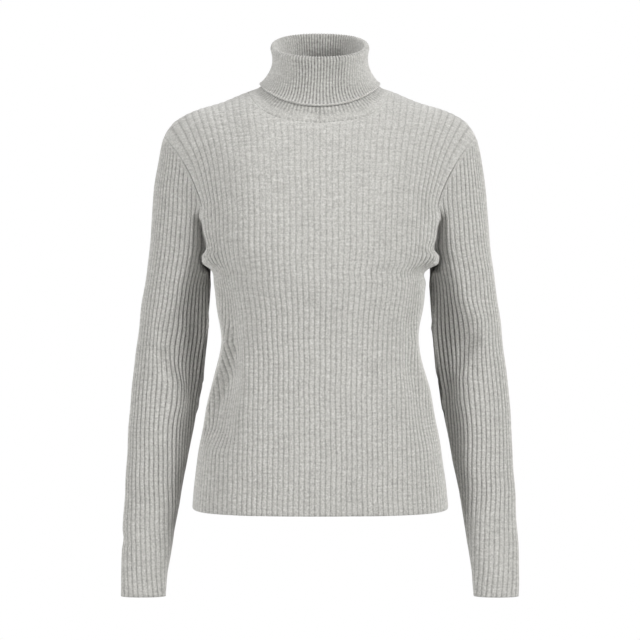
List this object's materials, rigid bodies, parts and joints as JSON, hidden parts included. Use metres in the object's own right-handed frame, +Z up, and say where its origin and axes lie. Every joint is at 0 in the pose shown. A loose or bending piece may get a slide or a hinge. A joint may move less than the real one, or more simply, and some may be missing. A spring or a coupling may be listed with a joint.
{
  "type": "high neck sweatshirt",
  "caption": "Fitted pullover in a wide rib knit, with a folded-over roll collar, set-in long sleeves and open hem and cuffs, filled out as worn.",
  "frame": {"origin": "middle of the base of the neck, between the inner ends of the shoulder seams, where the wearer holds the garment up", "axes": "+Z up along the wearer's spine, -Y to the wearer's front, +X to the wearer's left"},
  "size_m": [0.5334, 0.232, 0.7651],
  "materials": {
    "front_knit": "soft brushed wool rib, matt",
    "back_knit": "soft brushed wool rib, matt",
    "sleeve_left_knit": "soft brushed wool rib, matt",
    "sleeve_right_knit": "soft brushed wool rib, matt",
    "collar_knit": "soft brushed wool rib, matt"
  },
  "bodies": {
    "root": {"front": "front_knit", "back": "back_knit", "sleeve_left": "sleeve_left_knit", "sleeve_right": "sleeve_right_knit", "collar": "collar_knit"}
  },
  "joints": []
}
